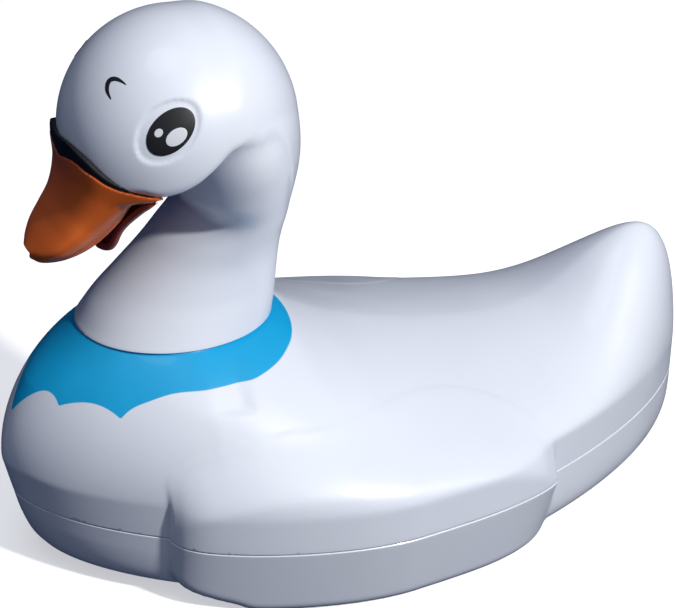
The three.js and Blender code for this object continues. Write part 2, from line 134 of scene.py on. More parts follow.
# ------------ fields and meshes
def loft(rings):
    """Points and triangles of a closed body from an array of rings (count, around, 3)."""
    count, around = rings.shape[:2]
    points = np.concatenate([rings.reshape(-1, 3), rings[:1].mean(1), rings[-1:].mean(1)])
    i, j = np.meshgrid(np.arange(count - 1), np.arange(around), indexing="ij")
    a = (i * around + j).ravel()
    b = (i * around + (j + 1) % around).ravel()
    c, d = b + around, a + around
    edge = np.arange(around)
    after = (edge + 1) % around
    last = (count - 1) * around
    first = np.full(around, count * around)
    faces = [np.stack([a, b, c], 1), np.stack([a, c, d], 1), np.stack([first, after, edge], 1),
             np.stack([first + 1, last + edge, last + after], 1)]
    return points.astype(np.float32), np.concatenate(faces).astype(np.uint32)


class Grid:
    """Regular grid of points in millimetres that fields are sampled on."""

    def __init__(self, low, high, voxel):
        self.voxel = voxel
        self.first = np.floor(np.array(low) / voxel).astype(int)
        self.shape = tuple(np.ceil(np.array(high) / voxel).astype(int) - self.first + 1)
        axes = [(self.first[k] + np.arange(self.shape[k])) * voxel for k in range(3)]
        self.x = axes[0][:, None, None].astype(np.float32)
        self.y = axes[1][None, :, None].astype(np.float32)
        self.z = axes[2][None, None, :].astype(np.float32)

    def distance(self, points, triangles, band=4.0):
        """Signed distance to a closed mesh, cut off a few voxels from its skin."""
        frame_of = vdb.createLinearTransform(voxelSize=self.voxel)
        level = vdb.FloatGrid.createLevelSetFromPolygons(
            points, triangles=triangles, transform=frame_of, halfWidth=band)
        field = np.zeros(self.shape, np.float32)
        level.copyToArray(field, ijk=tuple(int(k) for k in self.first))
        return field

    def tube(self, path, radius):
        """Distance to a round bar along a path; the radius may change along it."""
        path = np.array(path, np.float32)
        radius = np.broadcast_to(np.array(radius, np.float32), len(path))
        field = np.full(self.shape, 1e3, np.float32)
        for p, q, r0, r1 in zip(path[:-1], path[1:], radius[:-1], radius[1:]):
            reach = 4 + max(r0, r1)
            spans = []
            for k, axis in enumerate((self.x, self.y, self.z)):
                near = (axis.ravel() > min(p[k], q[k]) - reach) & (axis.ravel() < max(p[k], q[k]) + reach)
                spans.append(np.flatnonzero(near))
            if any(len(s) == 0 for s in spans):
                continue
            cut = tuple(slice(s[0], s[-1] + 1) for s in spans)
            dx, dy, dz = self.x[cut[0]] - p[0], self.y[:, cut[1]] - p[1], self.z[:, :, cut[2]] - p[2]
            run = q - p
            t = np.clip((dx * run[0] + dy * run[1] + dz * run[2]) / max(run @ run, 1e-9), 0, 1)
            off = (dx - t * run[0]) ** 2 + (dy - t * run[1]) ** 2 + (dz - t * run[2]) ** 2
            field[cut] = np.minimum(field[cut], np.sqrt(off) - (r0 + t * (r1 - r0)))
        return field

    def sample(self, field, points):
        """Field value at any points, blended between the eight nearest grid points."""
        at = points / self.voxel - self.first
        base = np.clip(np.floor(at).astype(int), 0, np.array(self.shape) - 2)
        t = at - base
        total = 0
        for corner in np.ndindex(2, 2, 2):
            i, j, k = (base + corner).T
            weight = np.prod(np.where(corner, t, 1 - t), axis=1)
            total = total + weight * field[i, j, k]
        return total

    def skin(self, field, rounds=4):
        """Smooth quad mesh of the surface where the field is zero."""
        level = vdb.FloatGrid(float(field.max()))
        level.copyFromArray(field, ijk=tuple(int(k) for k in self.first))
        level.transform = vdb.createLinearTransform(voxelSize=self.voxel)
        points, quads = level.convertToQuads()[:2]
        points, quads = points.astype(float), quads.astype(int)
        for _ in range(rounds):
            points = relaxed(points, quads, 0.5)
            points = self.pulled(field, points)
        return points, outward(points, quads)

    def pulled(self, field, points):
        """Points moved back onto the zero surface."""
        step = self.voxel * 0.5
        value = self.sample(field, points)
        slope = np.stack([(self.sample(field, points + d) - self.sample(field, points - d)) / (2 * step)
                          for d in np.eye(3) * step], 1)
        size = np.maximum((slope ** 2).sum(1, keepdims=True), 0.1)
        move = value[:, None] * slope / size
        return points - np.clip(move, -self.voxel, self.voxel)


def edges_of(quads):
    """Each edge once, as a pair of point numbers."""
    pairs = np.concatenate([quads[:, [k, (k + 1) % quads.shape[1]]] for k in range(quads.shape[1])])
    return np.unique(np.sort(pairs, 1), axis=0)


def spread(values, edges):
    """Mean of each point's neighbours."""
    total = np.zeros_like(values)
    count = np.bincount(edges.ravel(), minlength=len(values))
    for k in range(values.shape[1]):
        total[:, k] = (np.bincount(edges[:, 0], values[edges[:, 1], k], len(values))
                       + np.bincount(edges[:, 1], values[edges[:, 0], k], len(values)))
    return total / np.maximum(count, 1)[:, None]


def relaxed(points, quads, share):
    """Points moved a share of the way to the mean of their neighbours."""
    edges = edges_of(quads)
    return points + share * (spread(points, edges) - points)


def outward(points, faces):
    """Faces turned so that the enclosed volume is positive."""
    a, b, c = points[faces[:, 0]], points[faces[:, 1]], points[faces[:, 2]]
    volume = np.einsum("ij,ij->", a, np.cross(b, c))
    return faces if volume > 0 else faces[:, ::-1]


def blend(a, b, k):
    """Union of two fields with a fillet about k wide."""
    meet = np.maximum(k - np.abs(a - b), 0) / k
    return np.minimum(a, b) - meet * meet * k / 4


def mesh_of(name, points, faces):
    """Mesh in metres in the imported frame, from millimetres in the design frame."""
    mesh = bpy.data.meshes.new(name)
    mesh.from_pydata((np.asarray(points, float) + SHIFT) * MM, [], [list(map(int, f)) for f in faces])
    mesh.validate()
    return mesh


def piece(name, points, faces, material, sharp=40):
    """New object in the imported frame, shaded smooth except at sharp edges."""
    made = bpy.data.objects.new(name, mesh_of(name, points, faces))
    bpy.context.scene.collection.objects.link(made)
    finish_piece(made, material, sharp)
    return made


def finish_piece(made, material, sharp=40):
    """One material, smooth shading, and hard edges above an angle in degrees."""
    made.data.materials.clear()
    made.data.materials.append(material)
    made.data.shade_smooth()
    made.data.set_sharp_from_angle(angle=math.radians(sharp))


def stand_for(made, body, slot, *nodes):
    """Puts a finished piece on its CAD body in place of the CAD nodes it shows."""
    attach(made, body)
    if nodes:
        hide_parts(*nodes)


# ------------ neck: shape rules
neck_front = through([[96, -108], [104, -102], [112, -94], [128, -76.5], [139, -65], [150, -69], [183, -76]])
neck_back = through([[96, -31], [104, -29.5], [118, -27.8], [139, -25], [158, -22.8], [168, -22.9],
                     [180, -26], [192, -36]])
neck_half = through([[96, 34.5], [104, 31.5], [112, 28.8], [124, 27.2], [139, 31], [152, 37.5], [165, 41.5],
                     [178, 40.5], [192, 32]])


# ------------ float: shape rules
ridge = through([[-73, HUMP_Z], [-34, 97], [-18, 88], [5, 78], [50, 68], [85, 69], [115, 87],
                 [STERN_Y, 118]])
roof = through([[BOW_Y, 1.9], [-73, 1.7], [0, 1.55], [STERN_Y, 1.6]])
stem = through([[KEEL_Z, -126], [10, -131], [20, -135], [30, -137.5], [WIDE_Z, BOW_Y]])
stern = through([[KEEL_Z, 143], [9, 149], [18, 152], [WIDE_Z, STERN_Y]])
wing_top = through([[-93, 56], [-88, 61], [-80, 65], [-60, 70], [-30, 70], [10, 67], [35, 62], [52, 55],
                    [61, 46]])
wing_low = through([[-93, 13], [-89, 8.5], [-80, 5], [-72, 2.6], [-67, 0.5], [-60, 0], [50, 0], [57, 1],
                    [61, 5]])
wing_swell = through([[-93, 3.6], [-90, 6.8], [-85, 8.6], [-76, 9], [-60, 8.5], [-30, 7], [0, 5.5], [30, 7],
                      [61, 9]])


def plan_width(y, z):
    """Half width of the float in plan, before its sides curve in."""
    front, back = stem(np.minimum(z, WIDE_Z)), stern(np.minimum(z, WIDE_Z))
    reach = np.where(y < MID_Y, MID_Y - front, back - MID_Y)
    s = (y - MID_Y) / reach
    return BEAM * np.where(y < MID_Y, cap(s, 1.6), cap(s, 1.56))


def top_at(y):
    """Height of the float along its middle line."""
    bow = WIDE_Z + (HUMP_Z - WIDE_Z) * cap((y + 73) / (-73 - BOW_Y), 1.86)
    fall = np.where(y > 105, cap((y - 105) / (STERN_Y - 105), 2.3), 1)
    return np.where(y < -73, bow, WIDE_Z + (ridge(y) - WIDE_Z) * fall)


def keel_at(y):
    """Lowest point of the middle line, which rises under the raked bow and stern."""
    heights = np.linspace(KEEL_Z, WIDE_Z, 200)
    bow = np.interp(-y, -stem(heights), heights)
    tail = np.interp(y, stern(heights), heights)
    return np.maximum(bow, tail)


def side_at(y, z):
    """Half width of the float without the wings."""
    up = cap((z - WIDE_Z) / (top_at(y) - WIDE_Z), roof(y))
    down = cap((WIDE_Z - z) / (WIDE_Z - KEEL_Z), BILGE)
    return plan_width(y, z) * np.where(z >= WIDE_Z, up, down)


def float_rings(lengthwise, around):
    along = -np.cos(np.pi * np.arange(1, lengthwise) / lengthwise)
    y = MID_Y + along * np.where(along < 0, MID_Y - BOW_Y, STERN_Y - MID_Y)
    y = np.repeat(y[:, None], around, 1)
    angle = 2 * np.pi * np.arange(around)[None, :] / around
    low = np.sin(angle) < 0
    n = np.where(low, BILGE, roof(y))
    z = WIDE_Z + (np.where(low, keel_at(y), top_at(y)) - WIDE_Z) * np.abs(np.sin(angle)) ** (2 / n)
    across = np.sign(np.cos(angle)) * np.abs(np.cos(angle)) ** (2 / n)
    return np.stack([plan_width(y, z) * across, y, z], 2)


def wing_side(y, z):
    """Half width of the float over the folded wing."""
    upper = np.maximum(z, SEAM_Z)
    taper = np.where(y > 20, cap((y - 20) / 46, 3), 1)
    swell = wing_swell(y) * taper * ease((wing_top(y) - upper) / WING_FADE)
    tuck = (0.22 + 0.6 * (1 - taper)) * np.maximum(0, SEAM_Z - z)
    return side_at(y, upper) + swell - tuck


def wing_rings(count, levels, side):
    """Sections of a folded wing with its skid."""
    y = np.linspace(WING_FRONT, WING_BACK, count)[:, None]
    low = np.maximum(wing_low(y), 0)
    high = wing_top(y)
    share = np.linspace(0, 1, levels)[None, :] ** 1.3
    z = low + (high - low) * share
    outer = wing_side(y, z)
    foot = wing_side(y, low)
    rounding = 2.0 * (1 - np.clip((z - low) / 4, 0, 1)) ** 2
    inner_z = low + (high - low) * np.linspace(0.96, 0.2, 10)[None, :]
    inner = side_at(y, inner_z) - 9
    x = np.concatenate([outer - rounding, inner, foot - 11, foot - 9], 1)
    z = np.concatenate([z, inner_z, low + 5, low], 1)
    return np.stack([side * x, np.broadcast_to(y, x.shape), z], 2)


def float_field(grid):
    """Hull and wings, with the shoulders pared down to the oval foot of the neck."""
    hull = grid.distance(*loft(float_rings(260, 200)))
    for side in (1, -1):
        hull = blend(hull, grid.distance(*loft(wing_rings(150, 70, side))), 0.9)
    front, back, half = float(neck_front(COLLAR_Z)), float(neck_back(COLLAR_Z)), float(neck_half(COLLAR_Z))
    middle, reach = (front + back) / 2, (back - front) / 2
    round_neck = (np.sqrt((grid.x / half) ** 2 + ((grid.y - middle) / reach) ** 2) - 1) * half
    slope = 1.25 + 6 * ease((grid.y + 62) / 34)
    shoulder = (round_neck - 0.2 - slope * np.maximum(SHELL_TOP - grid.z, 0)) / np.sqrt(1 + slope ** 2)
    shoulder = np.where((grid.z > 78) & (grid.y < -20), shoulder, -9).astype(np.float32)
    return -blend(-hull, -shoulder, 3.0)


# ------------ float: bib
BIB_CUSPS = [[0, 65.0], [20.3, 75.4], [47.3, 75.6]]
BIB_RISE = [7.6, 3.6]
BIB_SIDE = through([[47.3, 75.6], [50.6, 78.7], [55.7, 81.1], [69.6, 84.6], [87.6, 85.2], [104, 85.6],
                    [121, 87.4], [137, 89.5], [157, 91.4], [180, 93.6]])
BIB_CENTRE_Y = -69.5


def bib_edge(turn):
    """Height of the lower edge of the painted bib at an angle from the chest line, in degrees."""
    height = BIB_SIDE(turn)
    for (a, low), (b, high), rise in zip(BIB_CUSPS[:-1], BIB_CUSPS[1:], BIB_RISE):
        t = np.clip((turn - a) / (b - a), 0, 1)
        arch = low + (high - low) * t + rise * np.sin(np.pi * t) ** 0.8
        height = np.where((turn >= a) & (turn < b), arch, height)
    return height


def bib_depth(points):
    """How far above the bib's lower edge each point is, in millimetres."""
    turn = np.degrees(np.arctan2(np.abs(points[:, 0]), -(points[:, 1] - BIB_CENTRE_Y)))
    return points[:, 2] - bib_edge(turn)


# ------------ cutting and hollowing
def cut_open(points, quads, planes):
    """Mesh cut at level planes; each plane is (height, keep) with keep 1 for above and -1 for below."""
    mesh = bpy.data.meshes.new("cut")
    mesh.from_pydata(points, [], quads.tolist())
    bm = bmesh.new()
    bm.from_mesh(mesh)
    for height, keep in planes:
        everything = bm.verts[:] + bm.edges[:] + bm.faces[:]
        bmesh.ops.bisect_plane(bm, geom=everything, dist=1e-5, plane_co=(0, 0, height),
                               plane_no=(0, 0, keep), clear_inner=True)
    bmesh.ops.dissolve_degenerate(bm, dist=0.02, edges=bm.edges[:])
    bm.to_mesh(mesh)
    bm.free()
    points = np.array([v.co for v in mesh.vertices], float)
    faces = [list(p.vertices) for p in mesh.polygons]
    bpy.data.meshes.remove(mesh)
    return points, faces


def point_normals(points, faces):
    """Unit normal at each point."""
    normals = np.zeros_like(points)
    for f in faces:
        a, b, c = points[f[0]], points[f[1]], points[f[2]]
        u, v = b - a, c - a
        n = (u[1] * v[2] - u[2] * v[1], u[2] * v[0] - u[0] * v[2], u[0] * v[1] - u[1] * v[0])
        for i in f:
            normals[i] += n
    return normals / np.maximum(np.linalg.norm(normals, axis=1, keepdims=True), 1e-9)


def hollow(points, faces, rims, thick=WALL, chamfer=0.3):
    """Closed wall from an open skin: the skin, an inner copy, and a chamfered rim at every open edge.

    rims lists (height of the open edge, height of the rim's flat face).
    """
    pairs = np.array([(f[k], f[(k + 1) % len(f)]) for f in faces for k in range(len(f))])
    edges = np.unique(np.sort(pairs, 1), axis=0)
    normals = point_normals(points, faces)
    soft = normals
    for _ in range(10):
        soft = 0.5 * soft + 0.5 * spread(soft, edges)
    soft /= np.maximum(np.linalg.norm(soft, axis=1, keepdims=True), 1e-9)

    forward = set(map(tuple, pairs.tolist()))
    open_edges = [(a, b) for a, b in forward if (b, a) not in forward]
    open_edges.sort()
    rim = sorted({i for e in open_edges for i in e})
    inner = points - thick * soft
    flat = normals[rim] * (1, 1, 0)
    flat /= np.maximum(np.linalg.norm(flat, axis=1, keepdims=True), 1e-9)
    heights = np.array([min(rims, key=lambda r: abs(r[0] - z))[1] for z in points[rim, 2]])
    lip = points[rim] - chamfer * flat
    lip[:, 2] = heights
    back = points[rim] - thick * flat
    back[:, 2] = heights
    inner[rim] = back

    count = len(points)
    lip_of = {i: 2 * count + k for k, i in enumerate(rim)}
    all_faces = [list(f) for f in faces]
    all_faces += [[i + count for i in reversed(f)] for f in faces]
    for a, b in open_edges:
        all_faces.append([b, a, lip_of[a], lip_of[b]])
        all_faces.append([lip_of[b], lip_of[a], a + count, b + count])
    return np.concatenate([points, inner, lip]), all_faces


def carve(base, tool, operation="DIFFERENCE"):
    """Boolean of two closed pieces; the tool is used up."""
    change = base.modifiers.new("cut", "BOOLEAN")
    change.operation = operation
    change.solver = "MANIFOLD"
    change.object = tool
    bpy.context.view_layer.update()
    result = bpy.data.meshes.new_from_object(base.evaluated_get(bpy.context.evaluated_depsgraph_get()))
    base.modifiers.clear()
    old = base.data
    base.data = result
    bpy.data.meshes.remove(old)
    bpy.data.objects.remove(tool)
    return base


def rough_piece(name, points, faces):
    """New object without a material, for further cutting."""
    made = bpy.data.objects.new(name, mesh_of(name, points, faces))
    bpy.context.scene.collection.objects.link(made)
    return made


def ring_rounded(corners, radius, steps=4):
    """Closed [radius, height] outline with rounded corners."""
    corners = np.array(corners, float)
    out = []
    for k, here in enumerate(corners):
        before, after = corners[k - 1], corners[(k + 1) % len(corners)]
        if here[0] < 0.01:
            out.append(here)
            continue
        into, away = before - here, after - here
        trim = min(radius, 0.45 * np.linalg.norm(into), 0.45 * np.linalg.norm(away))
        start = here + trim * into / np.linalg.norm(into)
        end = here + trim * away / np.linalg.norm(away)
        for t in np.linspace(0, 1, steps):
            out.append((1 - t) ** 2 * start + 2 * t * (1 - t) * here + t * t * end)
    return np.array(out)


def lathe(name, corners, radius=0.3, sides=128, centre=(0.0, WELL_Y)):
    """Turned piece about an upright axis from a [radius, height] outline."""
    outline = ring_rounded(corners, radius)
    on_axis = outline[:, 0] < 0.01
    points, rows = [], []
    for (r, z), axial in zip(outline, on_axis):
        if axial:
            rows.append([len(points)] * sides)
            points.append((centre[0], centre[1], z))
            continue
        rows.append(list(range(len(points), len(points) + sides)))
        for k in range(sides):
            a = 2 * math.pi * k / sides
            points.append((centre[0] + r * math.cos(a), centre[1] + r * math.sin(a), z))
    faces = []
    for i in range(len(rows)):
        here, after = rows[i], rows[(i + 1) % len(rows)]
        if on_axis[i] and on_axis[(i + 1) % len(rows)]:
            continue
        for k in range(sides):
            m = (k + 1) % sides
            ring = [here[k], here[m], after[m], after[k]]
            faces.append(list(dict.fromkeys(ring)))
    made = rough_piece(name, points, faces)
    fix_normals(made)
    return made


def fix_normals(made):
    """Faces turned outwards."""
    bm = bmesh.new()
    bm.from_mesh(made.data)
    bmesh.ops.recalc_face_normals(bm, faces=bm.faces[:])
    if bm.calc_volume(signed=True) < 0:
        bmesh.ops.reverse_faces(bm, faces=bm.faces[:])
    bm.to_mesh(made.data)
    bm.free()


def prism(name, outline, z0, z1):
    """Upright prism from an outline of (x, y) points."""
    n = len(outline)
    points = [(x, y, z) for z in (z0, z1) for x, y in outline]
    faces = [[k, (k + 1) % n, n + (k + 1) % n, n + k] for k in range(n)]
    faces += [list(reversed(range(n))), list(range(n, 2 * n))]
    made = rough_piece(name, points, faces)
    fix_normals(made)
    return made


def sector(name, r0, r1, middle, half, z0, z1, corner=0.0, steps=12):
    """Wedge about the well axis between two radii and two angles in degrees."""
    angles = np.radians(np.linspace(middle - half, middle + half, steps))
    outline = [(r1 * math.cos(a), WELL_Y + r1 * math.sin(a)) for a in angles]
    outline += [(r0 * math.cos(a), WELL_Y + r0 * math.sin(a)) for a in reversed(angles)]
    if corner:
        outline = [tuple(p) for p in round_outline(outline, corner)]
    return prism(name, outline, z0, z1)


def round_outline(outline, radius, steps=5):
    """Outline with its sharp turns rounded."""
    corners = np.array(outline, float)
    out = []
    for k, here in enumerate(corners):
        into, away = corners[k - 1] - here, corners[(k + 1) % len(corners)] - here
        cosine = into @ away / (np.linalg.norm(into) * np.linalg.norm(away))
        if cosine < -0.9:
            out.append(here)
            continue
        trim = min(radius, 0.9 * np.linalg.norm(into), 0.9 * np.linalg.norm(away))
        start = here + trim * into / np.linalg.norm(into)
        end = here + trim * away / np.linalg.norm(away)
        out += [(1 - t) ** 2 * start + 2 * t * (1 - t) * here + t * t * end for t in np.linspace(0, 1, steps)]
    return out


# ------------ materials
def new_material(name):
    material = bpy.data.materials.new(name)
    material.use_nodes = True
    nodes, links = material.node_tree.nodes, material.node_tree.links
    return material, nodes, links, nodes["Principled BSDF"]


def noise(nodes, links, scale, detail=3.0):
    place = nodes.new("ShaderNodeTexCoord")
    texture = nodes.new("ShaderNodeTexNoise")
    texture.inputs["Scale"].default_value = scale
    texture.inputs["Detail"].default_value = detail
    links.new(place.outputs["Object"], texture.inputs["Vector"])
    return texture.outputs["Fac"]


def remap(nodes, links, value, low, high, start=0.3, end=0.7):
    """Number that runs from low to high as the input runs from start to end."""
    node = nodes.new("ShaderNodeMapRange")
    node.inputs["From Min"].default_value = start
    node.inputs["From Max"].default_value = end
    node.inputs["To Min"].default_value = low
    node.inputs["To Max"].default_value = high
    links.new(value, node.inputs["Value"])
    return node.outputs["Result"]


def mixed(nodes, links, share, first, second):
    """Colour between two colours or colour outputs."""
    node = nodes.new("ShaderNodeMix")
    node.data_type = "RGBA"
    links.new(share, node.inputs["Factor"])
    for socket, value in ((node.inputs["A"], first), (node.inputs["B"], second)):
        if isinstance(value, tuple):
            socket.default_value = (*value, 1)
        else:
            links.new(value, socket)
    return node.outputs["Result"]


def bumped(nodes, links, shader, heights):
    """Bump from a list of (height output, strength, distance in metres)."""
    last = None
    for height, strength, distance in heights:
        bump = nodes.new("ShaderNodeBump")
        bump.inputs["Strength"].default_value = strength
        bump.inputs["Distance"].default_value = distance
        links.new(height, bump.inputs["Height"])
        if last:
            links.new(last, bump.inputs["Normal"])
        last = bump.outputs["Normal"]
    links.new(last, shader.inputs["Normal"])


def moulded(name, light, dark, roughness, coat=0.0, grain=0.06, wear=0.35):
    """Moulded plastic: faint flow mottling, uneven gloss, worn edges and a fine orange-peel skin."""
    material, nodes, links, shader = new_material(name)
    flow = remap(nodes, links, noise(nodes, links, 14, 4), 0, 1)
    colour = mixed(nodes, links, flow, dark, light)
    shape = nodes.new("ShaderNodeNewGeometry")
    worn = remap(nodes, links, shape.outputs["Pointiness"], 0, wear, 0.515, 0.56)
    pale = tuple(min(1.0, c * 0.75 + 0.25) for c in light)
    colour = mixed(nodes, links, worn, colour, pale)
    links.new(colour, shader.inputs["Base Color"])
    scuff = remap(nodes, links, noise(nodes, links, 45, 6), roughness * 0.82, roughness * 1.3)
    links.new(scuff, shader.inputs["Roughness"])
    shader.inputs["Coat Weight"].default_value = coat
    shader.inputs["Coat Roughness"].default_value = 0.06
    shader.inputs["IOR"].default_value = 1.5
    peel = noise(nodes, links, 420, 2)
    waves = noise(nodes, links, 26, 1)
    bumped(nodes, links, shader, [(peel, grain, 0.0002), (waves, 0.05, 0.002)])
    return material


WHITE = ((0.800, 0.830, 0.905), (0.765, 0.800, 0.885))
BLUE = ((0.003, 0.400, 0.760), (0.002, 0.370, 0.710))


def painted_white(name):
    """White moulded plastic with the blue bib painted on where the bib attribute is above zero."""
    material = moulded(name, *WHITE, roughness=0.36, coat=0.3)
    nodes, links = material.node_tree.nodes, material.node_tree.links
    shader = nodes["Principled BSDF"]
    base = shader.inputs["Base Color"].links[0].from_socket
    depth = nodes.new("ShaderNodeAttribute")
    depth.attribute_name = "bib"
    inside = remap(nodes, links, depth.outputs["Fac"], 0, 1, -0.12, 0.12)
    flow = remap(nodes, links, noise(nodes, links, 60, 5), 0, 1)
    paint = mixed(nodes, links, flow, BLUE[1], BLUE[0])
    links.new(mixed(nodes, links, inside, base, paint), shader.inputs["Base Color"])
    return material


white = moulded("white_shell_plastic", *WHITE, roughness=0.36, coat=0.3)
painted = painted_white("white_shell_plastic_with_bib")
orange = moulded("bill_plastic", (0.760, 0.150, 0.020), (0.690, 0.125, 0.014), roughness=0.36,
                 coat=0.12, grain=0.1, wear=0.06)
# Lower bill: the same orange as the upper bill, darkened and reddened in its colour to paint in the shade it
# sits in under the upper bill.
lower_bill_shaded_orange = moulded("lower_bill_painted_shade", (0.420, 0.050, 0.016), (0.350, 0.038, 0.012), roughness=0.36, coat=0.1,
              grain=0.1, wear=0.04)
black = moulded("black_face_paint", (0.0045, 0.0055, 0.008), (0.003, 0.0035, 0.005), roughness=0.5,
                wear=0.004)
glint = moulded("white_eye_paint", (0.78, 0.80, 0.83), (0.72, 0.74, 0.78), roughness=0.35, grain=0.15)
grey = moulded("grey_housing_plastic", (0.38, 0.43, 0.48), (0.34, 0.39, 0.44), roughness=0.42,
               grain=0.3)
blue = moulded("blue_canister_plastic", (0.010, 0.300, 0.600), (0.008, 0.260, 0.540), roughness=0.36,
               grain=0.25)


def speckled(name, tones, tone_noise, gloss, gloss_noise, grain, grain_noise, metallic=0.0):
    """Uneven colour and gloss; each noise is (scale, detail) and grain is (strength, distance)."""
    material, nodes, links, shader = new_material(name)
    tone = remap(nodes, links, noise(nodes, links, *tone_noise), 0, 1)
    links.new(mixed(nodes, links, tone, *tones), shader.inputs["Base Color"])
    links.new(remap(nodes, links, noise(nodes, links, *gloss_noise), *gloss), shader.inputs["Roughness"])
    shader.inputs["Metallic"].default_value = metallic
    bumped(nodes, links, shader, [(noise(nodes, links, *grain_noise), *grain)])
    return material


rubber = speckled("seal_rubber", ((0.018, 0.020, 0.022), (0.034, 0.036, 0.040)), (90, 6), (0.6, 0.85),
                  (160, 4), (0.4, 0.0002), (900, 4))
steel = speckled("screw_steel", ((0.50, 0.51, 0.52), (0.62, 0.63, 0.64)), (300, 5), (0.22, 0.42), (700, 6),
                 (0.15, 0.0001), (1500, 5), metallic=1.0)


# ------------ float: pieces
def build_float():
    grid = Grid((-97, -146, -4), (97, 158, 124), 1.25)
    points, quads = grid.skin(float_field(grid))

    upper = cut_open(points, quads, [(SEAM_HIGH + EDGE_GAP, 1), (SHELL_TOP - EDGE_GAP, -1)])
    rims = [(SEAM_HIGH + EDGE_GAP, SEAM_HIGH), (SHELL_TOP - EDGE_GAP, SHELL_TOP)]
    wall_points, wall_faces = hollow(*upper, rims)
    top = piece("float_upper", wall_points, wall_faces, painted)
    depth = bib_depth(wall_points)
    count = len(upper[0])
    depth[count:2 * count] = -5.0        # the inner skin isn't painted
    mark = top.data.attributes.new("bib", "FLOAT", "POINT")
    mark.data.foreach_set("value", depth.astype(np.float32))
    stand_for(top, "float", "shell_white", "upper_shell")

    lower = cut_open(points, quads, [(SEAM_LOW - EDGE_GAP, -1)])
    wall_points, wall_faces = hollow(*lower, [(SEAM_LOW - EDGE_GAP, SEAM_LOW)])
    base = rough_piece("float_lower", wall_points, wall_faces)
    pan = [[0, KEEL_Z + 0.3], [POCKET_R + WALL, KEEL_Z + 0.3], [POCKET_R + WALL, POCKET_Z + WALL],
           [0, POCKET_Z + WALL]]
    carve(base, lathe("pan", pan, 0.6), "UNION")
    carve(base, lathe("recess", [[0, -5], [POCKET_R, -5], [POCKET_R, POCKET_Z], [0, POCKET_Z]], 0.8))
    carve(base, lathe("hole", [[0, -5], [HOLE_R, -5], [HOLE_R, 30], [0, 30]], 0.4))
    finish_piece(base, white)
    stand_for(base, "float", "shell_white", "lower_shell")


# ------------ neck and head
EYE_AIM = np.array([39, -15.5, 14.9]) / np.linalg.norm([39, -15.5, 14.9])
EYE_SHORT = np.cross([-0.06, 0.79, 0.61], EYE_AIM)
EYE_SHORT /= np.linalg.norm(EYE_SHORT)
EYE_LONG = np.cross(EYE_AIM, EYE_SHORT)
EYE_HALF = (6.8, 10.4)
RECESS = {"half": (9.5, 13.4), "power": 1.85, "depth": 0.8, "slide": (-0.7, -0.8)}
cheek_height = through([[-112, 158], [-98, 163], [-92, 164.4], [-85.8, 163.7], [-78.2, 165.8], [-72.3, 169],
                        [-68.7, 171.8], [-64.8, 175], [-60.7, 178.4], [-57, 180.2], [-48, 183], [-37, 182],
                        [-31, 160], [-25, 120]])
cheek_across = through([[-112, 15], [-98, 30], [-92, 34.1], [-85.8, 38.2], [-78.2, 41.7], [-72.3, 43.5],
                        [-64.8, 44.3], [-57.5, 42.6], [-48, 40]])


def neck_rings(heights, around):
    z = heights[:, None]
    angle = 2 * np.pi * np.arange(around)[None, :] / around
    front, back = neck_front(z), neck_back(z)
    x = neck_half(z) * np.cos(angle)
    y = (front + back) / 2 + (back - front) / 2 * np.sin(angle)
    return np.stack([x, y, np.broadcast_to(z, x.shape)], 2)


def eye_socket(grid):
    """How deep the skin of the head is pressed in round the eyes."""
    dx, dy, dz = np.abs(grid.x), grid.y - HEAD[1], grid.z - HEAD[2]
    out = dx * EYE_AIM[0] + dy * EYE_AIM[1] + dz * EYE_AIM[2]
    short = dx * EYE_SHORT[0] + dy * EYE_SHORT[1] + dz * EYE_SHORT[2] - RECESS["slide"][0]
    long = dx * EYE_LONG[0] + dy * EYE_LONG[1] + dz * EYE_LONG[2] - RECESS["slide"][1]
    power = RECESS["power"]
    wide, tall = RECESS["half"]
    spot = (np.abs(short / wide) ** power + np.abs(long / tall) ** power) ** (1 / power)
    return RECESS["depth"] * ease((1.06 - spot) / 0.12) * (out > 0)


def head_ball(grid):
    """Round of the head, cut off below the cheeks."""
    ball = np.sqrt(grid.x ** 2 + (grid.y - HEAD[1]) ** 2 + (grid.z - HEAD[2]) ** 2) - HEAD_R
    under = cheek_height(grid.y) - 0.5 * np.maximum(0, cheek_across(grid.y) - np.abs(grid.x)) - grid.z
    return -blend(-ball, -(under * 0.8).astype(np.float32), 2.4)


def build_head():
    grid = Grid((-48, -114, 94), (48, -16, 222), 0.8)
    ball = head_ball(grid)
    column = grid.distance(*loft(neck_rings(np.linspace(88, NECK_TOP, 130), 160)))
    soft = 1.2 + 7 * ease((grid.y + 70) / 20)
    field = blend(ball, column, soft) + eye_socket(grid)
    points, quads = grid.skin(field)
    lip = 0.3
    bottom = SHELL_TOP + EDGE_GAP
    skin_points, skin_faces = cut_open(points, quads, [(bottom + lip, 1)])
    head = piece("head_and_neck", *hollow(skin_points, skin_faces, [(bottom + lip, bottom)]), white)
    stand_for(head, "float", "shell_white", "head_neck")

    inner, outer = collar_ring(-4.0), collar_ring(-2.8)
    rings = [np.column_stack([r, np.full(len(r), z)]) for r, z in
             ((outer, 95.5), (outer, 96.5), (inner, 96.5), (inner, 95.5))]
    gasket = piece("collar_gasket", *hoop(rings), rubber)
    stand_for(gasket, "float", "seal_rubber", "neck_gasket")


def collar_ring(grow, around=128):
    """Outline of the foot of the neck, moved outwards by grow."""
    angle = 2 * np.pi * np.arange(around) / around
    front, back = float(neck_front(COLLAR_Z)) - grow, float(neck_back(COLLAR_Z)) + grow
    x = (float(neck_half(COLLAR_Z)) + grow) * np.cos(angle)
    y = (front + back) / 2 + (back - front) / 2 * np.sin(angle)
    return np.stack([x, y], 1)


